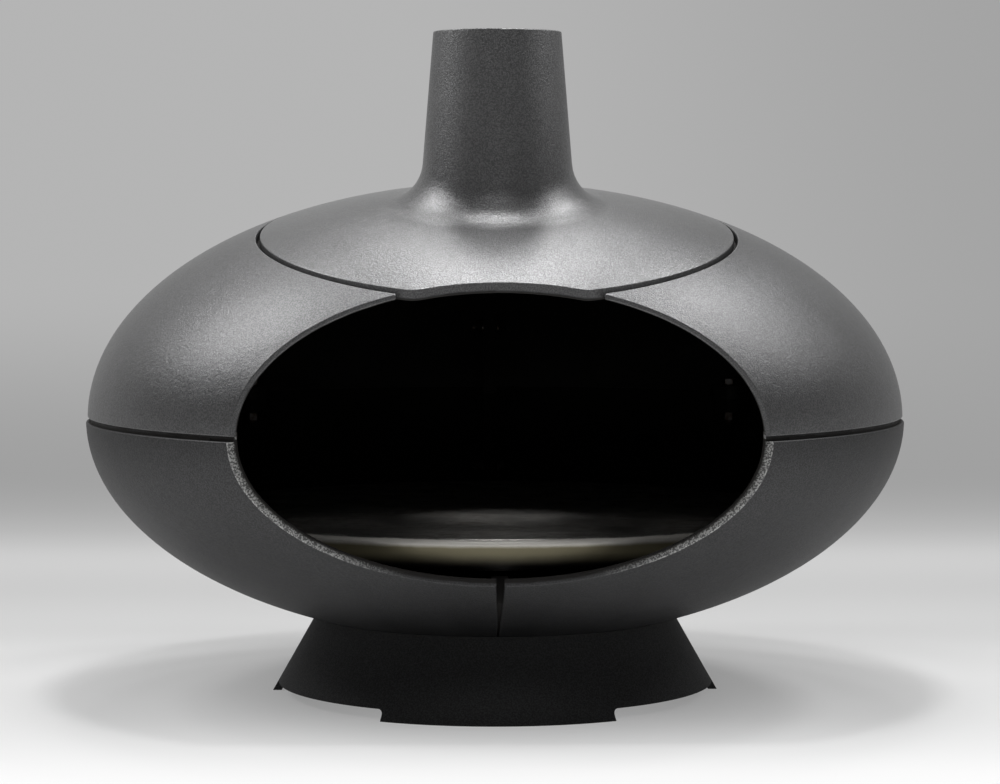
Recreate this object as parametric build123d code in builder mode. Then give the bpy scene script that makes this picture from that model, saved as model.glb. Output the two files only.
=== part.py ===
from build123d import *
import math
import os

# Outdoor wood-fired oven: an egg-shaped cast-iron body of four shells on a flared foot,
# with a round hood that carries the chimney, and a thick hearth plate inside.
# Millimetres. The origin is on the floor, under the middle of the overall width and depth.
# +Z is up, -Y is the side of the fire mouth, and +X is to the right as one faces the mouth.

# Body, measured from the equator, its widest level; a fullness over 0.707 swells the shoulders
body_radius = 373.0
crown_height = 214.8
crown_fullness = 0.72
bowl_depth = 203.5
bowl_fullness = math.sqrt(0.5)
floor_clearance = 51.5
upper_wall = 4.8
lower_wall = 6.8
mouth_distance = 299.0

# Seams between the shells; the lower shells stand a little proud of the upper ones
equator_gap = 4.3
seam_step = 1.5
parting_gap = 2.0
slot_width = 6.9
slot_drop = 45.0
tongue_setback = 0.5
tongue_thickness = 1.8
tongue_height = 6.0
tongue_root = 4.0
rebate_clearance = 0.3
seat_clearance = 0.3

# Hood and chimney; the hood's round edge meets the mouth's plane at the width of its lip
hood_radius = 209.5
hood_lip_width = 142.6
hood_gap = 3.5
hood_wall = 8.0
hood_tip_round = 30.0
hood_tip_gap = 15.2
ledge_width = 12.0
ledge_wall = 5.0
ledge_setback = 24.0
flue_forward = 31.0
flue_top_radius = 56.0
flue_rise = 129.7
flue_taper = 4.68
flue_wall = 6.0
flare_radius = 40.0

# Foot
foot_radius = 206.0
foot_slope = 29.5
foot_wall = 7.0
foot_flange_inner = 118.0
foot_flange_thickness = 8.0
foot_arc = 60.0
foot_count = 3
arch_rise = 10.0
arch_corner = 5.0

# Hearth plate, a shallow pan turned over, with ribs underneath; its top is measured from the
# bowl's bottom, and it is as large as its distances from the mouth's plane and the shells allow
hearth_setback = 20.0
hearth_margin = 20.0
hearth_rise = 118.5
hearth_depth = 28.0
hearth_thickness = 9.0
hearth_rim = 12.0
hearth_nose = 5.0
hearth_heel = 14.0
hearth_rib_width = 8.0
hearth_rib_depth = 14.0
hearth_rib_count = 8
hearth_hub_radius = 40.0

# Brackets under the hearth plate, lugs on the equator, and ribs beside the parting
bracket_width = 10.0
bracket_angles = (-62.0, 0.0, 62.0)
lug_width = 34.0
lug_depth = 30.0
lug_height = 13.0
lug_round = 12.0
lug_angles = (-47.0, 0.0, 47.0)
rib_width = 7.0
rib_depth = 18.0
rib_setback = 36.0
rib_end_margin = 41.0
upper_rib_tilts = (20.0, 42.0)
lower_rib_tilts = (24.0, 52.0)

# Fasteners, M8 in the shells and M10 in the foot, and the room that they have in their holes
shell_bolt_radius = 4.0
foot_bolt_radius = 5.0
foot_bolt_circle = 140.0
foot_bolt_angles = (-45.0, 45.0)
foot_pad_radius = 15.0
foot_pad_height = 1.5
hole_clearance = 0.5
washer_clearance = 0.25
thread_clearance = 0.1
bolt_tail = 3.0

# Sizes of heads, nuts and washers as shares of the bolt's radius
flats_share = 3.25
head_height_share = 1.3
nut_height_share = 1.7
washer_radius_share = 2.0
washer_height_share = 0.4

# Edge roundings
edge_round = 1.0
lower_edge_round = 1.5
lip_round = 1.5

# Places worked out from these
lower_radius = body_radius + seam_step
equator_height = floor_clearance + bowl_depth
axis_y = (mouth_distance - lower_radius) / 2
mouth_y = axis_y - mouth_distance
hood_y = mouth_y + math.sqrt(hood_radius**2 - (hood_lip_width / 2) ** 2)
flue_y = hood_y - flue_forward
flue_height = crown_height + flue_rise
tip_stop = hood_lip_width / 2 + hood_tip_gap
opening_radius = hood_radius + hood_gap
ledge_inset = hood_wall + seat_clearance + ledge_wall
lug_circle = lower_radius - lower_wall - lug_depth / 2
tongue_radius = body_radius - upper_wall + tongue_setback
reach = 2 * body_radius
hole_reach = 2 * lug_height

body_axis = Axis((0, axis_y, 0), (0, 0, 1))
flue_axis = Axis((0, flue_y, 0), (0, 0, 1))
equator = Plane(origin=(0, axis_y, equator_height))
section_plane = Plane(origin=(0, axis_y, equator_height), x_dir=(0, 1, 0), z_dir=(1, 0, 0))
foot_plane = Plane(origin=(0, axis_y, 0), x_dir=(0, 1, 0), z_dir=(1, 0, 0))
hood_plane = Plane(origin=(0, hood_y, equator_height))
flue_plane = Plane(origin=(0, flue_y, equator_height), x_dir=(1, 0, 0), z_dir=(0, -1, 0))
mouth_plane = Plane(origin=(0, mouth_y, equator_height), x_dir=(1, 0, 0), z_dir=(0, -1, 0))

os.makedirs("parts", exist_ok=True)


def crown(inset, mode=Mode.ADD):
    """Solid upper half of the body, inset from its outer surface."""
    turned_quarter(body_radius - inset, crown_height - inset, crown_fullness, mode)


def bowl(inset, mode=Mode.ADD):
    """Solid lower half of the body, inset from its outer surface."""
    turned_quarter(lower_radius - inset, inset - bowl_depth, bowl_fullness, mode)


def turned_quarter(along, rise, fullness, mode):
    """Solid of revolution under a curved quarter; a fullness of 0.707 makes it an ellipse."""
    with BuildSketch(section_plane) as section:
        with BuildLine():
            Bezier((along, 0), (along, rise), (0, rise), weights=(1, fullness, 1))
            Polyline((0, rise), (0, 0), (along, 0))
        make_face()
    revolve(section.sketch, axis=body_axis, mode=mode)


def bowl_drop(radius, inset):
    """How far below the equator the bowl's surface lies, at a distance from the axis."""
    return (bowl_depth - inset) * math.sqrt(1 - (radius / (lower_radius - inset)) ** 2)


def bowl_radius(drop, inset):
    """The bowl's radius at a distance below the equator."""
    return (lower_radius - inset) * math.sqrt(1 - (drop / (bowl_depth - inset)) ** 2)


def flue(top_radius):
    """Solid chimney taper round the chimney's own axis, up from the equator's level."""
    low_radius = top_radius + flue_height * math.tan(math.radians(flue_taper))
    with BuildSketch(flue_plane) as section:
        with BuildLine():
            Polyline((0, 0), (low_radius, 0), (top_radius, flue_height), (0, flue_height), close=True)
        make_face()
    revolve(section.sketch, axis=flue_axis)


def polar_plane(radius, angle, level):
    """Level plane at a distance and an angle from the body's axis, its x pointing outwards."""
    turned = Plane(origin=(0, axis_y, level)).rotated((0, 0, angle))
    return Plane(origin=turned.from_local_coords((radius, 0, 0)), x_dir=turned.x_dir)


def parting_planes(along, rise, tilts):
    """Planes facing +X on the parting behind the axis, at tilts round a quarter of that size."""
    planes = []
    for tilt in tilts:
        turn = math.radians(tilt)
        centre = (0, axis_y + along * math.cos(turn), equator_height + rise * math.sin(turn))
        planes.append(Plane(origin=centre, x_dir=(0, 1, 0), z_dir=(1, 0, 0)))
    return planes


# The hearth plate's size, and where the brackets under it start
hearth_drop = bowl_depth - hearth_rise
hearth_level = equator_height - hearth_drop
bracket_level = hearth_level - hearth_depth
hearth_room = bowl_radius(hearth_drop + hearth_depth, lower_wall) - hearth_margin
hearth_radius = min(mouth_distance - hearth_setback, hearth_room)
hearth_inner = hearth_radius - hearth_heel - hearth_rim

# Where the shells are bolted together and to the foot
upper_bolt_inset = upper_wall + rib_depth / 2
lower_bolt_inset = lower_wall + rib_depth / 2
lug_planes = [polar_plane(lug_circle, angle, equator_height) for angle in lug_angles]
lug_planes_left = [polar_plane(lug_circle, 180 - angle, equator_height) for angle in lug_angles]
upper_rib_planes = parting_planes(
    body_radius - upper_bolt_inset, crown_height - upper_bolt_inset, upper_rib_tilts
)
lower_rib_planes = parting_planes(
    lower_radius - lower_bolt_inset, lower_bolt_inset - bowl_depth, lower_rib_tilts
)
front_bolt_run = mouth_distance - rib_setback - rib_end_margin
front_bolt_level = equator_height - bowl_drop(front_bolt_run, lower_bolt_inset)
front_rib_planes = [
    Plane(origin=(0, axis_y - front_bolt_run, front_bolt_level), x_dir=(0, 1, 0), z_dir=(1, 0, 0))
]
foot_pad_drop = bowl_drop(foot_bolt_circle + foot_pad_radius, lower_wall)
foot_pad_level = equator_height - foot_pad_drop + foot_pad_height
foot_planes = [polar_plane(foot_bolt_circle, angle, foot_pad_level) for angle in foot_bolt_angles]
foot_planes_left = [polar_plane(foot_bolt_circle, 180 - angle, foot_pad_level) for angle in foot_bolt_angles]


def drill(planes, radius):
    """Holes square through everything near each plane."""
    with BuildSketch(*planes) as holes:
        Circle(radius)
    extrude(holes.sketch, amount=hole_reach, both=True, mode=Mode.SUBTRACT)


def lugs(half, wall, height):
    """Lugs of the right-hand side, inside one half of the body; height is their signed rise."""
    with BuildPart() as part:
        for angle in lug_angles:
            with BuildSketch(equator.rotated((0, 0, angle))) as tab:
                with Locations((lug_circle - lug_depth / 2, 0)):
                    Rectangle(2 * lug_depth, lug_width, align=(Align.MIN, Align.CENTER))
                fillet(tab.vertices().group_by(Axis.X)[0], lug_round)
            extrude(amount=height)
        half(wall / 2, mode=Mode.INTERSECT)
    return part.part


def parting_rib(half, wall, start_y, height):
    """Rib along the right-hand side of the parting plane, from start_y to the back."""
    with BuildPart() as part:
        half(wall / 2)
        half(wall + rib_depth, mode=Mode.SUBTRACT)
        with BuildSketch(Plane(origin=(0, start_y, equator_height))):
            Rectangle(rib_width, 2 * reach, align=Align.MIN)
        extrude(amount=height, mode=Mode.INTERSECT)
    return part.part


def outer_edges(shell):
    """Edges round a shell's outer surface."""
    return shell.faces().sort_by(SortBy.AREA)[-1].outer_wire().edges()


def lip_edges(shell):
    """Curved edges of the flat lip that a shell has at the mouth, from the lowest up."""
    lip_face = shell.faces().filter_by(Axis.Y).sort_by(Axis.Y)[0]
    return lip_face.edges().filter_by(GeomType.BSPLINE).sort_by(Axis.Z)


# The inside of the hood and the chimney, as a solid that is cut from the casting
with BuildPart() as hood_void:
    crown(hood_wall)
    flue(flue_top_radius - flue_wall)
    flare_edges = hood_void.edges().filter_by(GeomType.BSPLINE)
    fillet(flare_edges, flare_radius + hood_wall)

# Hood and chimney: one casting, a round lid of the body's own curve with a flared chimney
with BuildPart() as chimney_hood:
    crown(0)
    flue(flue_top_radius)
    flare_edges = chimney_hood.edges().filter_by(GeomType.BSPLINE)
    fillet(flare_edges, flare_radius)
    with BuildSketch(hood_plane) as hood_outline:
        Circle(hood_radius)
        with Locations((0, mouth_y - hood_y)):
            Rectangle(2 * reach, 2 * reach, align=(Align.CENTER, Align.MIN), mode=Mode.INTERSECT)
        fillet(hood_outline.vertices(), hood_tip_round)
    extrude(amount=reach, mode=Mode.INTERSECT)
    add(hood_void.part, mode=Mode.SUBTRACT)
    flue_rims = chimney_hood.edges().filter_by(GeomType.CIRCLE).group_by(Axis.Z)[-1]
    fillet(flue_rims, edge_round)
    # The rounding of the lip's two long edges runs on round the whole rim
    lip_face = chimney_hood.faces().filter_by(Axis.Y).sort_by(Axis.Y)[0]
    fillet(lip_face.edges().filter_by(GeomType.BSPLINE), edge_round)
chimney_hood.part.label = "chimney_hood"
export_step(chimney_hood.part, "parts/chimney_hood.step")

# The space in front of the mouth, and the space on the left of the parting gap
with BuildPart() as mouth_space:
    with BuildSketch(mouth_plane):
        Rectangle(2 * reach, 2 * reach)
    extrude(amount=reach)
with BuildPart() as left_space:
    with BuildSketch(equator):
        with Locations((parting_gap / 2, 0)):
            Rectangle(reach, 2 * reach, align=(Align.MAX, Align.CENTER))
    extrude(amount=reach, both=True)

# Right-hand half of the ring that carries the hood's edge; it stops short of the mouth
with BuildPart() as hood_ledge:
    crown(upper_wall / 2)
    crown(ledge_inset, mode=Mode.SUBTRACT)
    with BuildSketch(hood_plane):
        Circle(opening_radius + ledge_wall)
        Circle(opening_radius - ledge_width, mode=Mode.SUBTRACT)
        with Locations((0, mouth_y + ledge_setback - hood_y)):
            Rectangle(2 * reach, 2 * reach, align=(Align.CENTER, Align.MIN), mode=Mode.INTERSECT)
    extrude(amount=reach, mode=Mode.INTERSECT)
    add(left_space.part, mode=Mode.SUBTRACT)

# The recess that the hood drops into; the shells' tips at the mouth are cut off blunt
with BuildPart() as hood_recess:
    with BuildSketch(hood_plane):
        Circle(opening_radius)
        with Locations((0, mouth_y - hood_y)):
            Rectangle(2 * tip_stop, opening_radius, align=(Align.CENTER, Align.MIN))
    extrude(amount=reach)
    crown(hood_wall + seat_clearance, mode=Mode.SUBTRACT)

# Upper right-hand shell: a quarter of the body, open at the mouth and under the hood
with BuildPart() as upper_shell_right:
    crown(0)
    crown(upper_wall, mode=Mode.SUBTRACT)
    with BuildSketch(equator):
        Circle(reach)
    extrude(amount=equator_gap / 2, mode=Mode.SUBTRACT)
    add(left_space.part, mode=Mode.SUBTRACT)
    add(hood_ledge.part)
    add(parting_rib(crown, upper_wall, axis_y, reach))
    add(lugs(crown, upper_wall, lug_height))
    add(hood_recess.part, mode=Mode.SUBTRACT)
    add(mouth_space.part, mode=Mode.SUBTRACT)
    with BuildSketch(equator):
        Circle(tongue_radius + tongue_thickness + rebate_clearance)
        Circle(tongue_radius - tongue_setback - rebate_clearance, mode=Mode.SUBTRACT)
    extrude(amount=tongue_height + rebate_clearance, mode=Mode.SUBTRACT)
    drill(lug_planes, shell_bolt_radius + hole_clearance)
    drill(upper_rib_planes, shell_bolt_radius + hole_clearance)
    fillet(lip_edges(upper_shell_right)[0], lip_round)
    fillet(outer_edges(upper_shell_right), edge_round)
upper_shell_right.part.label = "upper_shell_right"
export_step(upper_shell_right.part, "parts/upper_shell_right.step")

with BuildPart() as upper_shell_left:
    mirror(upper_shell_right.part, about=Plane.YZ)
upper_shell_left.part.label = "upper_shell_left"
export_step(upper_shell_left.part, "parts/upper_shell_left.step")

# Brackets inside the right-hand lower shell, which start at the inside of the plate's rim
with BuildPart() as brackets:
    for bracket_angle in bracket_angles:
        with BuildSketch(Plane(origin=(0, axis_y, bracket_level)).rotated((0, 0, bracket_angle))):
            with Locations((hearth_inner, 0)):
                Rectangle(reach, bracket_width, align=(Align.MIN, Align.CENTER))
        extrude(amount=-bowl_depth)
    bowl(lower_wall / 2, mode=Mode.INTERSECT)

# Round pads inside the lower shell under the foot's bolts
with BuildPart() as foot_pads:
    with BuildSketch(*foot_planes):
        Circle(foot_pad_radius)
    extrude(amount=-bowl_depth)
    bowl(lower_wall / 2, mode=Mode.INTERSECT)

# Lower right-hand shell: a quarter of the body with a tongue along its upper edge
lip_drop = bowl_drop(mouth_distance, 0)
with BuildPart() as lower_shell_right:
    bowl(0)
    bowl(lower_wall, mode=Mode.SUBTRACT)
    with BuildSketch(equator):
        Circle(reach)
    extrude(amount=-equator_gap / 2, mode=Mode.SUBTRACT)
    with BuildSketch(equator.offset(-equator_gap / 2 - tongue_root)):
        Circle(tongue_radius + tongue_thickness)
        Circle(tongue_radius, mode=Mode.SUBTRACT)
    extrude(amount=tongue_root + equator_gap / 2 + tongue_height)
    add(left_space.part, mode=Mode.SUBTRACT)
    with BuildSketch(mouth_plane):
        with BuildLine():
            Polyline(
                (0, 0),
                (slot_width / 2, 0),
                (slot_width / 2, -lip_drop),
                (parting_gap / 2, -lip_drop - slot_drop),
                (0, -lip_drop - slot_drop),
                close=True,
            )
        make_face()
    extrude(amount=-mouth_distance, mode=Mode.SUBTRACT)
    add(parting_rib(bowl, lower_wall, mouth_y + rib_setback, -reach))
    add(lugs(bowl, lower_wall, -lug_height))
    add(brackets.part)
    add(foot_pads.part)
    add(mouth_space.part, mode=Mode.SUBTRACT)
    drill(lug_planes, shell_bolt_radius + hole_clearance)
    drill(lower_rib_planes, shell_bolt_radius + hole_clearance)
    drill(front_rib_planes, shell_bolt_radius + hole_clearance)
    fillet(lip_edges(lower_shell_right)[-1], lip_round)
    fillet(outer_edges(lower_shell_right), lower_edge_round)
    drill(foot_planes, foot_bolt_radius + hole_clearance)
lower_shell_right.part.label = "lower_shell_right"
export_step(lower_shell_right.part, "parts/lower_shell_right.step")

with BuildPart() as lower_shell_left:
    mirror(lower_shell_right.part, about=Plane.YZ)
lower_shell_left.part.label = "lower_shell_left"
export_step(lower_shell_left.part, "parts/lower_shell_left.step")

# The arches between the feet, one of them at the back, as wedges that are cut from the foot
arch_spread = math.tan(math.radians(360 / foot_count - foot_arc) / 2)
back_plane = Plane(origin=(0, axis_y, 0)).rotated((0, 0, 90))
arch_planes = [back_plane.rotated((0, 0, turn * 360 / foot_count)) for turn in range(foot_count)]
with BuildPart() as arches:
    with BuildSketch(*arch_planes):
        with BuildLine():
            Polyline(
                (foot_flange_inner, -foot_flange_inner * arch_spread),
                (reach, -reach * arch_spread),
                (reach, reach * arch_spread),
                (foot_flange_inner, foot_flange_inner * arch_spread),
                close=True,
            )
        make_face()
    extrude(amount=arch_rise)
    fillet(arches.edges().group_by(Axis.Z)[-1], arch_corner)

# Foot: a flared ring with a flange that follows the bowl it carries
foot_lean = math.tan(math.radians(foot_slope))
foot_blank_height = equator_height - bowl_drop(foot_radius, 0)
foot_flange_drop = bowl_drop(foot_bolt_circle, -seat_clearance) + foot_flange_thickness
foot_flange_level = equator_height - foot_flange_drop
inner_radius = foot_radius - foot_wall / math.cos(math.radians(foot_slope))
with BuildPart() as foot_ring:
    with BuildSketch(foot_plane):
        with BuildLine():
            Polyline(
                (foot_radius, 0),
                (foot_radius - foot_lean * foot_blank_height, foot_blank_height),
                (foot_flange_inner, foot_blank_height),
                (foot_flange_inner, foot_flange_level),
                (inner_radius - foot_lean * foot_flange_level, foot_flange_level),
                (inner_radius, 0),
                close=True,
            )
        make_face()
    revolve(axis=body_axis)
    bowl(-seat_clearance, mode=Mode.SUBTRACT)
    add(arches.part, mode=Mode.SUBTRACT)
    drill(foot_planes + foot_planes_left, foot_bolt_radius + hole_clearance)
foot_ring.part.label = "foot_ring"
export_step(foot_ring.part, "parts/foot_ring.step")

# Hearth plate: flat and round, with a rolled front edge and ribs in its hollow underside
with BuildPart() as hearth_plate:
    with BuildSketch(Plane(origin=(0, axis_y, hearth_level))):
        Circle(hearth_radius)
    extrude(amount=-hearth_depth)
    fillet(hearth_plate.edges().sort_by(Axis.Z)[-1], hearth_nose)
    fillet(hearth_plate.edges().sort_by(Axis.Z)[0], hearth_heel)
    with BuildSketch(Plane(origin=(0, axis_y, bracket_level))):
        Circle(hearth_inner)
    extrude(amount=hearth_depth - hearth_thickness, mode=Mode.SUBTRACT)
    with BuildSketch(Plane(origin=(0, axis_y, hearth_level - hearth_thickness))):
        Circle(hearth_hub_radius)
        with PolarLocations(0, hearth_rib_count):
            Rectangle(hearth_inner + hearth_rim / 2, hearth_rib_width, align=(Align.MIN, Align.CENTER))
        Circle(hearth_hub_radius - hearth_rib_width, mode=Mode.SUBTRACT)
    extrude(amount=-hearth_rib_depth)
hearth_plate.part.label = "hearth_plate"
export_step(hearth_plate.part, "parts/hearth_plate.step")


def export_joint(joint, planes, above, below, bolt_radius):
    """Bolts, washers and nuts of one joint; the metal runs from above to below each plane."""
    across_flats = flats_share * bolt_radius
    head_height = head_height_share * bolt_radius
    nut_height = nut_height_share * bolt_radius
    washer_radius = washer_radius_share * bolt_radius
    washer_height = washer_height_share * bolt_radius
    head_seats = [plane.offset(above + washer_height) for plane in planes]
    nut_seats = [plane.offset(-below - washer_height) for plane in planes]
    shank = above + below + 2 * washer_height + nut_height + bolt_tail

    with BuildPart() as bolts:
        with BuildSketch(*head_seats):
            RegularPolygon(across_flats / 2, 6, major_radius=False)
        extrude(amount=head_height)
        with BuildSketch(*head_seats):
            Circle(bolt_radius)
        extrude(amount=-shank)
    bolts.part.label = f"{joint}_bolts"
    export_step(bolts.part, f"parts/{joint}_bolts.step")

    with BuildPart() as washers:
        with BuildSketch(*[seat.offset(-washer_height) for seat in head_seats], *nut_seats):
            Circle(washer_radius)
            Circle(bolt_radius + washer_clearance, mode=Mode.SUBTRACT)
        extrude(amount=washer_height)
    washers.part.label = f"{joint}_washers"
    export_step(washers.part, f"parts/{joint}_washers.step")

    with BuildPart() as nuts:
        with BuildSketch(*nut_seats):
            RegularPolygon(across_flats / 2, 6, major_radius=False)
            Circle(bolt_radius + thread_clearance, mode=Mode.SUBTRACT)
        extrude(amount=-nut_height)
    nuts.part.label = f"{joint}_nuts"
    export_step(nuts.part, f"parts/{joint}_nuts.step")


foot_stack = foot_pad_level - foot_flange_level
export_joint("equator", lug_planes + lug_planes_left, lug_height, lug_height, shell_bolt_radius)
export_joint("upper_parting", upper_rib_planes, rib_width, rib_width, shell_bolt_radius)
export_joint("lower_parting", lower_rib_planes, rib_width, rib_width, shell_bolt_radius)
export_joint("front_parting", front_rib_planes, rib_width, rib_width, shell_bolt_radius)
export_joint("foot", foot_planes + foot_planes_left, 0, foot_stack, foot_bolt_radius)

print("volumes cm3")
for piece in (chimney_hood, upper_shell_right, lower_shell_right, foot_ring, hearth_plate):
    print(piece.part.label, round(piece.part.volume / 1000), piece.part.is_valid, len(piece.solids()))
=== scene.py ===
# %% [markdown]
# # A cast-iron garden oven
#
# The castings and screws come ready-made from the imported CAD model, and they are never moved or
# reshaped here. This script gives them their finishes, and sets up the camera and the studio.

import math

import bmesh
import bpy
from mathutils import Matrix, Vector


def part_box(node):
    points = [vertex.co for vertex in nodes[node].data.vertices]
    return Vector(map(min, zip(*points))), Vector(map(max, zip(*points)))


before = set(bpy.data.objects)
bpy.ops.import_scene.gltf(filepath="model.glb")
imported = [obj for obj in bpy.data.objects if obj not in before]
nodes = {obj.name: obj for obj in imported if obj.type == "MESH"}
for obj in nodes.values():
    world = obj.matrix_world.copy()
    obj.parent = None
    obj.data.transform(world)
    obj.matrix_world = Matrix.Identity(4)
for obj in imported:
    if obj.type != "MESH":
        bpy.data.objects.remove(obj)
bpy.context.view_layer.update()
print("castings and screws:", ", ".join(sorted(nodes)))

# %% [markdown]
# ## The camera
#
# The picture was taken from almost straight ahead, a little above the oven's widest level, with a
# long lens. A long lens keeps the ellipse of the body true, so the camera stands nearly three
# metres away. Its place is written from the body's own axis, because that is how it was found.

# %% Camera
body_axis_y = -0.03775
equator_level = 0.255
camera_distance = 2.80665
camera_rise = 0.186
camera_azimuth = -0.0149
camera_yaw = -0.0165
camera_pitch = 0.0585

camera_data = bpy.data.cameras.new("studio_camera")
camera_data.lens = 109.64
camera_data.sensor_width = 36
camera = bpy.data.objects.new("studio_camera", camera_data)
bpy.context.scene.collection.objects.link(camera)
camera.location = (
    camera_distance * math.sin(camera_azimuth),
    body_axis_y - camera_distance * math.cos(camera_azimuth),
    equator_level + camera_rise,
)
camera.rotation_euler = (math.pi / 2 - camera_pitch, 0, camera_yaw)
bpy.context.scene.camera = camera
print("camera at", [round(c, 3) for c in camera.location])

# %% [markdown]
# ## Small helpers for node trees
#
# Every finish below is a tree of nodes. A few short helpers keep the trees readable: one adds a
# node and fills in its values, others do one step of arithmetic. A value that is another node's
# output is linked, and a plain number is written into the socket.


# %% Node helpers
def put(tree, socket, value):
    """Links an output to a socket, or writes a plain value into it."""
    if isinstance(value, bpy.types.NodeSocket):
        tree.links.new(value, socket)
    else:
        socket.default_value = value


def add_node(tree, kind, values=None, **settings):
    """Adds a node, with its settings and the values or links of its sockets."""
    node = tree.nodes.new(kind)
    for name, setting in settings.items():
        setattr(node, name, setting)
    for key, value in (values or {}).items():
        put(tree, node.inputs[key], value)
    return node


def calc(tree, operation, *values):
    """One step of arithmetic."""
    return add_node(tree, "ShaderNodeMath", dict(enumerate(values)), operation=operation).outputs[0]


def vector_calc(tree, operation, *values):
    """One step of arithmetic on vectors."""
    return add_node(tree, "ShaderNodeVectorMath", dict(enumerate(values)), operation=operation)


def ramp(tree, value, low, high):
    """Nought up to low, one from high, and a smooth rise between."""
    values = {"Value": value, "From Min": low, "From Max": high}
    node = add_node(tree, "ShaderNodeMapRange", values, interpolation_type="SMOOTHSTEP")
    return node.outputs[0]


def mix_colour(tree, factor, first, second):
    """Mixes two colours."""
    values = {0: factor, 6: first, 7: second}
    return add_node(tree, "ShaderNodeMix", values, data_type="RGBA").outputs[2]


def noise(tree, point, scale, detail=2.0, roughness=0.5):
    """Even noise around one half."""
    values = {"Vector": point, "Scale": scale, "Detail": detail, "Roughness": roughness}
    return add_node(tree, "ShaderNodeTexNoise", values).outputs["Fac"]


def object_point(tree):
    """The place on the piece, which slides nowhere when the camera moves."""
    return add_node(tree, "ShaderNodeTexCoord").outputs["Object"]


def split(tree, vector):
    """The X, Y and Z of a vector."""
    return add_node(tree, "ShaderNodeSeparateXYZ", {0: vector}).outputs


def tone(value):
    """A plain grey."""
    return (value, value, value, 1.0)


def new_material(name):
    """A material with nodes; returns it with its tree and its shader."""
    material = bpy.data.materials.new(name)
    material.use_nodes = True
    return material, material.node_tree, material.node_tree.nodes["Principled BSDF"]


def dress(node_name, material):
    """Gives a CAD node a material of this script."""
    mesh = nodes[node_name].data
    mesh.materials.clear()
    mesh.materials.append(material)


# %% [markdown]
# ## Node groups
#
# Soot and the grain of cast iron show on several castings. A node group is built once and placed
# in each material with its own values, so the castings look like one family.


# %% Group helpers
def new_group(name, inputs, outputs):
    """A node group with named inputs and outputs; returns the tree and its two end nodes."""
    tree = bpy.data.node_groups.new(name, "ShaderNodeTree")
    kinds = {float: "NodeSocketFloat", tuple: "NodeSocketColor"}
    for label, default in inputs.items():
        socket = tree.interface.new_socket(label, in_out="INPUT", socket_type=kinds[type(default)])
        socket.default_value = default
    for label, kind in outputs.items():
        tree.interface.new_socket(label, in_out="OUTPUT", socket_type=kinds[kind])
    start = tree.nodes.new("NodeGroupInput")
    end = tree.nodes.new("NodeGroupOutput")
    return tree, start, end


def place_group(tree, group, values):
    """Places a group in a material with its own values."""
    node = tree.nodes.new("ShaderNodeGroup")
    node.node_tree = group
    for key, value in values.items():
        put(tree, node.inputs[key], value)
    return node


# %% [markdown]
# ## Where the soot is
#
# The inside of an oven is black and its outside is not, but inside and outside are one casting. A
# mask has to tell them apart by place. Each half of the body is close to an ellipsoid, so the depth
# of any point below its outer surface can be worked out, and the walls are 5 to 8 mm thick: what
# lies deeper than about half a wall is inside. The chimney is a cone on the same casting, and it
# gets the same test by its distance from its own axis, but only from the hood upwards.

# %% Soot mask
upper_radius, crown_height = 0.373, 0.2148
lower_radius, bowl_depth = 0.3745, 0.2035
flue_axis_y = -0.17077
flue_top_level = 0.5995
flue_top_radius = 0.056
flue_lean = math.tan(math.radians(4.68))
hood_rise = 0.13
wobble_scale = 60.0
wobble_height = 0.0016

soot_inputs = {"Depth": 0.005, "Softness": 0.001}
soot_mask, start, end = new_group("soot_mask", soot_inputs, {"Mask": float, "Depth": float})
point = object_point(soot_mask)
from_centre = vector_calc(soot_mask, "SUBTRACT", point, (0, body_axis_y, equator_level)).outputs[0]
height = split(soot_mask, from_centre)["Z"]
is_upper = calc(soot_mask, "GREATER_THAN", height, 0)
rise = calc(soot_mask, "MULTIPLY_ADD", is_upper, crown_height - bowl_depth, bowl_depth)
run = calc(soot_mask, "MULTIPLY_ADD", is_upper, upper_radius - lower_radius, lower_radius)
axes = add_node(soot_mask, "ShaderNodeCombineXYZ", {0: run, 1: run, 2: rise}).outputs[0]
scaled = vector_calc(soot_mask, "DIVIDE", from_centre, axes).outputs[0]
share = vector_calc(soot_mask, "LENGTH", scaled).outputs["Value"]
slope = vector_calc(soot_mask, "DIVIDE", scaled, axes).outputs[0]
slope_length = vector_calc(soot_mask, "LENGTH", slope).outputs["Value"]
steepness = calc(soot_mask, "DIVIDE", slope_length, share)
body_depth = calc(soot_mask, "DIVIDE", calc(soot_mask, "SUBTRACT", 1, share), steepness)

place = split(soot_mask, point)
across = calc(soot_mask, "SUBTRACT", place["Y"], flue_axis_y)
x_squared = calc(soot_mask, "POWER", place["X"], 2)
y_squared = calc(soot_mask, "POWER", across, 2)
off_axis = calc(soot_mask, "SQRT", calc(soot_mask, "ADD", x_squared, y_squared))
below_top = calc(soot_mask, "SUBTRACT", flue_top_level, place["Z"])
flue_radius = calc(soot_mask, "MULTIPLY_ADD", below_top, flue_lean, flue_top_radius)
in_flue = calc(soot_mask, "SUBTRACT", flue_radius, off_axis)
above_hood = calc(soot_mask, "SUBTRACT", height, hood_rise)
flue_depth = calc(soot_mask, "MINIMUM", in_flue, above_hood)
depth = calc(soot_mask, "MAXIMUM", body_depth, flue_depth)

uneven = noise(soot_mask, point, wobble_scale)
wobble = calc(soot_mask, "MULTIPLY_ADD", uneven, wobble_height, -wobble_height / 2)
low = calc(soot_mask, "SUBTRACT", start.outputs["Depth"], start.outputs["Softness"])
high = calc(soot_mask, "ADD", start.outputs["Depth"], start.outputs["Softness"])
wobbled_depth = calc(soot_mask, "ADD", depth, wobble)
put(soot_mask, end.inputs["Mask"], ramp(soot_mask, wobbled_depth, low, high))
put(soot_mask, end.inputs["Depth"], depth)
print("soot mask:", len(soot_mask.nodes), "nodes")

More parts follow.
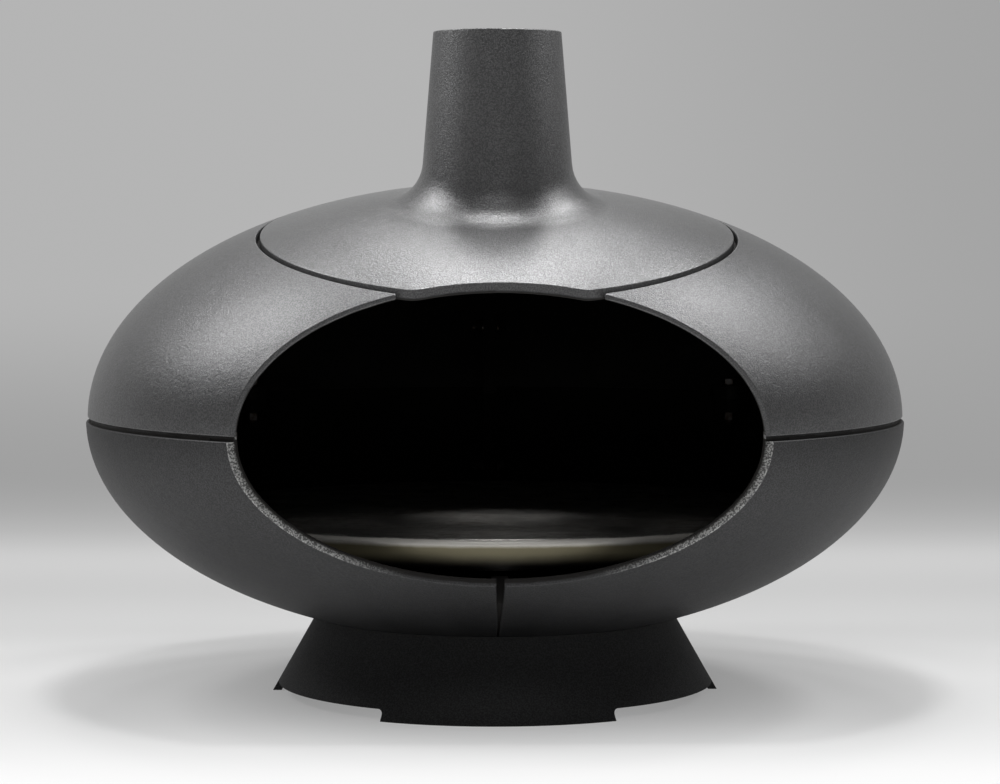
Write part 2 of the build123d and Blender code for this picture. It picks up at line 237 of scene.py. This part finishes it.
# %% [markdown]
# ## The skin of a sand casting
#
# Iron that is cast in sand keeps the sand's grain: millimetre dimples over a slow, barely visible
# waviness. Under its stove paint this shows as a fine sparkle in the highlights. One group makes
# both, and puts out a height for the bump, a colour with a little grain in it, and a roughness.

# %% Casting group
coarse_ratio = 3.7
coarse_share = 0.6
waviness_scale, waviness_share = 24.0, 1.5
patch_scale = 9.0
patch_tint = 0.18
patch_roughness = 0.12

casting_skin, start, end = new_group(
    "casting_skin",
    {"Color": tone(0.2), "Grain size": 0.0011, "Speckle": 0.25, "Base roughness": 0.45},
    {"Color": tuple, "Roughness": float, "Height": float},
)
point = object_point(casting_skin)
grain_scale = calc(casting_skin, "DIVIDE", 1, start.outputs["Grain size"])
coarse_scale = calc(casting_skin, "DIVIDE", grain_scale, coarse_ratio)
fine = noise(casting_skin, point, grain_scale, 3.0, 0.6)
coarse = noise(casting_skin, point, coarse_scale, 2.0, 0.5)
waviness = noise(casting_skin, point, waviness_scale, 2.0, 0.5)
patches = calc(casting_skin, "SUBTRACT", noise(casting_skin, point, patch_scale, 3.0, 0.55), 0.5)
grain = calc(casting_skin, "MULTIPLY_ADD", coarse, coarse_share, fine)
height = calc(casting_skin, "MULTIPLY_ADD", waviness, waviness_share, grain)

speckle = start.outputs["Speckle"]
dots = ramp(casting_skin, fine, 0.4, 0.62)
darkest = calc(casting_skin, "MULTIPLY_ADD", speckle, -0.5, 1)
tint = calc(casting_skin, "MULTIPLY_ADD", dots, speckle, darkest)
tint = calc(casting_skin, "MULTIPLY_ADD", patches, patch_tint, tint)
coloured = vector_calc(casting_skin, "SCALE", start.outputs["Color"])
put(casting_skin, coloured.inputs["Scale"], tint)
base_roughness = start.outputs["Base roughness"]
rough = calc(casting_skin, "MULTIPLY_ADD", patches, patch_roughness, base_roughness)
put(casting_skin, end.inputs["Color"], coloured.outputs[0])
put(casting_skin, end.inputs["Roughness"], rough)
put(casting_skin, end.inputs["Height"], height)
print("casting skin:", len(casting_skin.nodes), "nodes")

# %% [markdown]
# ## Painted castings
#
# The outside is matt stove paint with metal in it, so it is part metal to the shader. The inside is
# soot over bare iron: nearly black, without a highlight, and a little brown. The soot mask mixes
# the two. The hood, the shells and the foot use the same recipe and are one paint, but each gets
# its own grey as painted light and shade: lightest on the hood, darkest on the lower shells and
# the foot. A metal gets brighter at its outline, and the specular tint holds that down, because
# paint does it less.

# %% Painted castings
paint_metal = 0.7
paint_grain = 0.0013
paint_speckle = 0.5
paint_bump = 0.00035
soot_softness = 0.0008
soot_colour = (0.012, 0.0105, 0.0095, 1.0)
soot_roughness = 0.3


def painted_casting(name, colour, roughness, soot_depth, edge_tint):
    """Stove paint outside and soot inside; returns the material and its two placed groups."""
    material, tree, shader = new_material(name)
    shader.inputs["Specular Tint"].default_value = tone(edge_tint)
    skin_values = {
        "Color": (*colour, 1.0),
        "Grain size": paint_grain,
        "Speckle": paint_speckle,
        "Base roughness": roughness,
    }
    skin = place_group(tree, casting_skin, skin_values)
    soot = place_group(tree, soot_mask, {"Depth": soot_depth, "Softness": soot_softness})
    mask = soot.outputs["Mask"]
    sooty = mix_colour(tree, mask, skin.outputs["Color"], soot_colour)
    put(tree, shader.inputs["Base Color"], sooty)
    rough = calc(tree, "MULTIPLY_ADD", mask, soot_roughness, skin.outputs["Roughness"])
    put(tree, shader.inputs["Roughness"], rough)
    metal = calc(tree, "MULTIPLY_ADD", mask, -paint_metal, paint_metal)
    put(tree, shader.inputs["Metallic"], metal)
    bump_values = {"Height": skin.outputs["Height"], "Strength": 1.0, "Distance": paint_bump}
    bump = add_node(tree, "ShaderNodeBump", bump_values)
    put(tree, shader.inputs["Normal"], bump.outputs[0])
    return material, skin, soot


# The greys below are painted light and shade on one paint: lighter on the hood, darker below.
lit_hood_colour, hood_roughness = (0.18, 0.18, 0.182), 0.31
lit_hood_paint, hood_skin, _ = painted_casting("lit_hood_paint", lit_hood_colour, hood_roughness, 0.0045, 0.9)
lit_upper_paint, _, _ = painted_casting("lit_upper_paint", (0.145, 0.145, 0.147), 0.36, 0.0025, 0.95)
shaded_lower_paint, _, lower_soot = painted_casting(
    "shaded_lower_paint", (0.065, 0.065, 0.0665), 0.46, 0.0022, 0.65
)
# The foot is painted inside and out, so its soot starts deeper than any casting is thick.
shaded_foot_paint, _, _ = painted_casting("shaded_foot_paint", (0.06, 0.06, 0.0608), 0.7, 0.5, 0.6)
dress("chimney_hood", lit_hood_paint)
dress("upper_shell_left", lit_upper_paint)
dress("upper_shell_right", lit_upper_paint)
dress("lower_shell_left", shaded_lower_paint)
dress("lower_shell_right", shaded_lower_paint)
dress("foot_ring", shaded_foot_paint)
print("painted castings:", [m.name for m in (lit_hood_paint, lit_upper_paint, shaded_lower_paint, shaded_foot_paint)])

# %% [markdown]
# ## The chimney's rougher paint and painted shade
#
# The chimney is one casting with the hood, but it looks duller. So its paint gets a painted shade,
# a little darker, and is made rougher, and the rougher paint spreads the light of the high lamps
# down its sides. The change is a smooth one between two levels, from the dome's top upwards.

# %% Chimney
change_start, change_end = 0.47, 0.55
chimney_roughness = 0.46
chimney_painted_shade = 0.9

tree = lit_hood_paint.node_tree
on_pipe = ramp(tree, split(tree, object_point(tree))["Z"], change_start, change_end)
added_roughness = chimney_roughness - hood_roughness
rough = calc(tree, "MULTIPLY_ADD", on_pipe, added_roughness, hood_roughness)
put(tree, hood_skin.inputs["Base roughness"], rough)
# Painted shade: the pipe's grey is the hood's grey made darker.
shaded_pipe_colour = (*(chimney_painted_shade * c for c in lit_hood_colour), 1.0)
shaded = mix_colour(tree, on_pipe, (*lit_hood_colour, 1.0), shaded_pipe_colour)
put(tree, hood_skin.inputs["Color"], shaded)
print("pipe colour:", [round(c, 3) for c in shaded_pipe_colour])

# %% [markdown]
# ## The sill's light lip
#
# Where the mouth was cut, the lower shells' edge is given a light, speckled grey along its outer
# side. This fades out towards the middle of the sill. The lip is found by place: it lies on the
# mouth's plane, and the soot mask's depth tells its outer side from its inner one.

# %% Ground lip
lip_plane = (0.336, 0.3365)
lip_grey_from = (0.07, 0.16)
lip_depth = (0.0022, 0.0042)
lip_grain_scale = 700.0
lip_sparkle = (0.42, 0.6)
lip_grey = (0.5, 0.5, 0.49, 1.0)

tree = shaded_lower_paint.node_tree
shader = tree.nodes["Principled BSDF"]
point = object_point(tree)
place = split(tree, point)
on_lip = ramp(tree, calc(tree, "MULTIPLY", place["Y"], -1), *lip_plane)
aside = ramp(tree, calc(tree, "ABSOLUTE", place["X"]), *lip_grey_from)
outer = calc(tree, "SUBTRACT", 1, ramp(tree, lower_soot.outputs["Depth"], *lip_depth))
sparkle = ramp(tree, noise(tree, point, lip_grain_scale), *lip_sparkle)
speckle_amount = calc(tree, "MULTIPLY_ADD", sparkle, 0.8, 0.15)
lip = calc(tree, "MULTIPLY", calc(tree, "MULTIPLY", on_lip, aside), speckle_amount)
lip = calc(tree, "MULTIPLY", lip, outer)
painted = shader.inputs["Base Color"].links[0].from_socket
put(tree, shader.inputs["Base Color"], mix_colour(tree, lip, painted, lip_grey))
print("ground lip from", lip_grey_from[0], "m off the middle")

# %% [markdown]
# ## The hearth plate
#
# The plate is bare, well-used iron. Its flat top is worn to a dull grey sheen with dark burnt-in
# stains. Its rolled front edge carries a painted highlight, which runs through a painted bronze
# reflection to painted shade underneath. All of that follows the drop below the top, so one height
# does for all. Rings left by the facing cut are just visible: a wave on the distance from the
# plate's axis.

# %% Hearth plate
hearth_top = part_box("hearth_plate")[1][2]
highlight_drop = (0.0004, 0.0014)
reflection_drop = (0.0045, 0.0085)
shade_drop = (0.011, 0.024)
rough_drop = (0.008, 0.02)
stain_scale, stain_strength = 22.0, 0.75
stain_patches = (0.42, 0.66)
edge_scale, edge_unevenness = 45.0, 0.002
facing_pitch = 0.0016
facing_depth = 0.12
hearth_bump = 0.0001
stain_colour = (0.055, 0.045, 0.036, 1.0)
painted_highlight_colour = (0.95, 0.92, 0.86, 1.0)
painted_reflection_colour = (0.3, 0.27, 0.17, 1.0)
painted_shade_colour = (0.015, 0.013, 0.011, 1.0)

hearth_iron, tree, shader = new_material("hearth_iron")
skin_values = {
    "Color": (0.42, 0.41, 0.39, 1.0),
    "Grain size": 0.0009,
    "Speckle": 0.2,
    "Base roughness": 0.4,
}
skin = place_group(tree, casting_skin, skin_values)
point = object_point(tree)
drop = calc(tree, "SUBTRACT", hearth_top, split(tree, point)["Z"])
stains = ramp(tree, noise(tree, point, stain_scale, 5.0, 0.65), *stain_patches)
stain_mask = calc(tree, "MULTIPLY", stains, stain_strength)
stained = mix_colour(tree, stain_mask, skin.outputs["Color"], stain_colour)
uneven = noise(tree, point, edge_scale, 3.0)
edge_wobble = calc(tree, "MULTIPLY_ADD", uneven, edge_unevenness, -edge_unevenness / 2)
edge_drop = calc(tree, "ADD", drop, edge_wobble)
# Painted highlight on the rolled edge, then a painted bronze reflection, then painted shade below.
highlight_edge = ramp(tree, edge_drop, *highlight_drop)
highlighted = mix_colour(tree, highlight_edge, stained, painted_highlight_colour)
reflected = mix_colour(tree, ramp(tree, edge_drop, *reflection_drop), highlighted, painted_reflection_colour)
shaded_underside = mix_colour(tree, ramp(tree, edge_drop, *shade_drop), reflected, painted_shade_colour)
put(tree, shader.inputs["Base Color"], shaded_underside)

on_top = calc(tree, "SUBTRACT", 1, highlight_edge)
stain_on_top = calc(tree, "MULTIPLY", stain_mask, on_top)
burnt = calc(tree, "MAXIMUM", stain_on_top, ramp(tree, edge_drop, *rough_drop))
rough = calc(tree, "MULTIPLY_ADD", burnt, 0.3, skin.outputs["Roughness"])
put(tree, shader.inputs["Roughness"], rough)
bare_metal = calc(tree, "MULTIPLY_ADD", on_top, 0.5, 0.4)
unburnt = calc(tree, "MULTIPLY_ADD", burnt, -0.9, 1)
put(tree, shader.inputs["Metallic"], calc(tree, "MULTIPLY", bare_metal, unburnt))

centred = vector_calc(tree, "SUBTRACT", point, (0, body_axis_y, 0)).outputs[0]
flattened = vector_calc(tree, "MULTIPLY", centred, (1, 1, 0)).outputs[0]
radius = vector_calc(tree, "LENGTH", flattened).outputs["Value"]
rings = calc(tree, "SINE", calc(tree, "MULTIPLY", radius, 2 * math.pi / facing_pitch))
ring_height = calc(tree, "MULTIPLY_ADD", rings, facing_depth, skin.outputs["Height"])
bump_values = {"Height": ring_height, "Strength": 1.0, "Distance": hearth_bump}
bump = add_node(tree, "ShaderNodeBump", bump_values)
put(tree, shader.inputs["Normal"], bump.outputs[0])
dress("hearth_plate", hearth_iron)
print("hearth plate's top is", round(hearth_top, 4), "m above the floor")

# %% [markdown]
# ## Screws
#
# The screws sit in the heat, so their steel is dark, with brown heat tints over it. A blotchy
# noise between two dark colours is enough, because they are small and mostly in the shade.

# %% Fasteners
screw_steel, tree, shader = new_material("screw_steel")
dark_steel = (0.07, 0.066, 0.064, 1.0)
heat_brown = (0.045, 0.03, 0.02, 1.0)
tints = noise(tree, object_point(tree), 140.0, 3.0)
tinted = mix_colour(tree, ramp(tree, tints, 0.4, 0.62), dark_steel, heat_brown)
put(tree, shader.inputs["Base Color"], tinted)
put(tree, shader.inputs["Roughness"], calc(tree, "MULTIPLY_ADD", tints, 0.3, 0.25))
shader.inputs["Metallic"].default_value = 0.9
screw_nodes = [name for name in nodes if name.endswith(("_bolts", "_washers", "_nuts"))]
for name in screw_nodes:
    dress(name, screw_steel)
print("screw nodes:", len(screw_nodes))

# %% [markdown]
# ## The sweep
#
# A sweep is a floor that curves up into a wall, so that no line shows behind the object. One edge
# of it is drawn as a line, a spin bends it upwards, and an extrusion pulls it out to its width. Its
# faces have to point towards the oven, because their back side gets a look of its own below.

# %% Sweep
sweep_width = 14.0
sweep_front = -3.2
wall_distance = 3.4
wall_height = 4.0
bend_radius = 2.2
bend_steps = 24

sweep_mesh = bpy.data.meshes.new("studio_sweep")
shape = bmesh.new()
left = -sweep_width / 2
bend_start = wall_distance - bend_radius
first = shape.verts.new((left, sweep_front, 0))
flat_end = shape.verts.new((left, bend_start, 0))
shape.edges.new((first, flat_end))
bend = bmesh.ops.spin(
    shape,
    geom=[flat_end],
    cent=(left, bend_start, bend_radius),
    axis=(1, 0, 0),
    angle=math.pi / 2,
    steps=bend_steps,
)
bend_end = [v for v in bend["geom_last"] if isinstance(v, bmesh.types.BMVert)]
top = bmesh.ops.extrude_vert_indiv(shape, verts=bend_end)
bmesh.ops.translate(shape, verts=top["verts"], vec=(0, 0, wall_height))
sheet = bmesh.ops.extrude_edge_only(shape, edges=shape.edges[:])
far_side = [v for v in sheet["geom"] if isinstance(v, bmesh.types.BMVert)]
bmesh.ops.translate(shape, verts=far_side, vec=(sweep_width, 0, 0))
bmesh.ops.recalc_face_normals(shape, faces=shape.faces[:])
floor_face = min(shape.faces, key=lambda face: face.calc_center_median().z)
if floor_face.normal.z < 0:
    bmesh.ops.reverse_faces(shape, faces=shape.faces[:])
for face in shape.faces:
    face.smooth = True
shape.to_mesh(sweep_mesh)
shape.free()
sweep = bpy.data.objects.new("studio_sweep", sweep_mesh)
bpy.context.scene.collection.objects.link(sweep)
print("sweep faces:", len(sweep_mesh.polygons))

# %% [markdown]
# ## The sweep's paper and painted light
#
# Its colour is painted light: nearly white in front, falling to a light grey on the wall, and a
# little darker on the right as painted shade. The wall is a backdrop, so what the camera and the
# reflections see of it is a plain grey of its own. The floor near the oven stays mostly an ordinary
# surface that catches the oven's shadow, with a painted glow over it that lifts that shadow, and
# the part of it just behind the oven is greyer, a painted shade. From behind, the wall would hide
# the oven, so its back side is clear to the camera.

# %% Sweep paper
floor_share, floor_end, wall_start = 0.4, 0.2, 1.7
front_share, front_edge, front_end = 0.8, -0.5, -0.15
shade_band_start, shade_band_end = (0.0, 0.42), (0.65, 1.2)
floor_tone, shade_band_tone = tone(0.8), tone(0.61)
front_light, near_light, shade_band_light, foot_light = tone(1.0), tone(0.6), tone(0.5), tone(0.355)
wall_left, wall_right = tone(0.46), tone(0.37)

sweep_paper_and_light, tree, shader = new_material("sweep_paper_and_light")
shader.inputs["Roughness"].default_value = 0.9
shader.inputs["Specular IOR Level"].default_value = 0.1
place = split(tree, object_point(tree))
rays = add_node(tree, "ShaderNodeLightPath").outputs
seen = calc(tree, "MAXIMUM", rays["Is Camera Ray"], rays["Is Glossy Ray"])
seen = calc(tree, "MAXIMUM", seen, rays["Is Transmission Ray"])

to_wall = ramp(tree, place["Y"], floor_end, wall_start)
behind_share = calc(tree, "MULTIPLY_ADD", to_wall, 1 - floor_share, floor_share)
from_front = ramp(tree, place["Y"], front_edge, front_end)
ahead_share = calc(tree, "MULTIPLY_ADD", from_front, floor_share - front_share, front_share)
plain_share = calc(tree, "MAXIMUM", behind_share, ahead_share)

# Painted light and shade: the greyer band behind the oven and the greys from front to wall.
band_over = calc(tree, "SUBTRACT", 1, ramp(tree, place["Y"], *shade_band_end))
shade_band = calc(tree, "MULTIPLY", ramp(tree, place["Y"], *shade_band_start), band_over)
put(tree, shader.inputs["Base Color"], mix_colour(tree, shade_band, floor_tone, shade_band_tone))
front_grey = mix_colour(tree, ramp(tree, place["Y"], front_edge, 0.1), front_light, near_light)
near_grey = mix_colour(tree, shade_band, front_grey, shade_band_light)
foot_grey = mix_colour(tree, ramp(tree, place["Y"], 0.9, wall_start), near_grey, foot_light)
# Painted shade: the wall is a little darker on the right.
wall_grey = mix_colour(tree, ramp(tree, place["X"], -0.2, 1.1), wall_left, wall_right)
grey = mix_colour(tree, ramp(tree, place["Z"], 0.05, 0.32), foot_grey, wall_grey)
plain_grey = add_node(tree, "ShaderNodeEmission", {"Color": grey, "Strength": 1.0})

plain_seen = calc(tree, "MULTIPLY", plain_share, seen)
front_values = {0: plain_seen, 1: shader.outputs[0], 2: plain_grey.outputs[0]}
front_side = add_node(tree, "ShaderNodeMixShader", front_values)
back_side = add_node(tree, "ShaderNodeNewGeometry").outputs["Backfacing"]
open_back = calc(tree, "MULTIPLY", back_side, rays["Is Camera Ray"])
clear = add_node(tree, "ShaderNodeBsdfTransparent")
paper_values = {0: open_back, 1: front_side.outputs[0], 2: clear.outputs[0]}
paper = add_node(tree, "ShaderNodeMixShader", paper_values)
put(tree, tree.nodes["Material Output"].inputs["Surface"], paper.outputs[0])
sweep_mesh.materials.append(sweep_paper_and_light)
print("sweep paper:", len(tree.nodes), "nodes")

# %% [markdown]
# ## Lights
#
# Dark, curved paint shows mostly what it reflects, so each lamp is placed for what it draws there.
# Soft boxes hang over the oven and draw its oval shadow and the bright patch on the dome. Two small
# ones behind light the foot of the chimney's flare, and two pairs left and right light the shells.
# A weak box in front reaches the hearth plate.


# %% Lamps
def soft_box(name, place, target, size, power):
    """A rectangular area lamp that points at a target."""
    lamp = bpy.data.lights.new(name, "AREA")
    lamp.shape = "RECTANGLE"
    lamp.size, lamp.size_y = size
    lamp.energy = power
    box = bpy.data.objects.new(name, lamp)
    box.location = place
    box.rotation_euler = (Vector(target) - Vector(place)).to_track_quat("-Z", "Y").to_euler()
    bpy.context.scene.collection.objects.link(box)


soft_box("top_box", (0.0, -0.35, 2.55), (0.0, -0.2, 0.0), (0.3, 0.3), 17)
soft_box("back_top_box", (0.0, 0.5, 2.55), (0.0, -0.05, 0.0), (0.5, 0.8), 15)
soft_box("back_left_box", (-0.4, 0.9, 2.2), (0.0, -0.2, 0.4), (0.3, 0.3), 4.5)
soft_box("back_right_box", (0.4, 0.9, 2.2), (0.0, -0.2, 0.4), (0.3, 0.3), 5.5)
soft_box("left_high_box", (-1.2, 0.4, 2.2), (0.0, -0.1, 0.35), (0.45, 0.45), 9)
soft_box("right_high_box", (1.2, 0.4, 2.2), (0.0, -0.1, 0.35), (0.45, 0.45), 15)
soft_box("front_box", (0.0, -2.0, 1.7), (0.0, -0.3, 0.2), (1.2, 0.4), 4)
soft_box("left_box", (-1.5, 0.0, 1.6), (0.0, -0.1, 0.4), (0.4, 0.9), 14)
soft_box("right_box", (1.5, 0.0, 1.6), (0.0, -0.1, 0.4), (0.4, 0.9), 8.5)

# %% [markdown]
# ## The air
#
# The world adds a dim, even fill. Where the camera looks past the sweep, from the side or from
# behind, it sees the world itself, and there it is a plain light grey like the wall.

# %% World
air_fill = 0.03
air_grey = 0.42

world = bpy.data.worlds.new("studio_air")
world.use_nodes = True
tree = world.node_tree
background = tree.nodes["Background"]
background.inputs["Color"].default_value = tone(1)
looked_at = add_node(tree, "ShaderNodeLightPath").outputs["Is Camera Ray"]
air_strength = calc(tree, "MULTIPLY_ADD", looked_at, air_grey, air_fill)
put(tree, background.inputs["Strength"], air_strength)
bpy.context.scene.world = world
bpy.context.scene.view_settings.view_transform = "Standard"
print("air: fill", air_fill, "and seen as", round(air_fill + air_grey, 3))
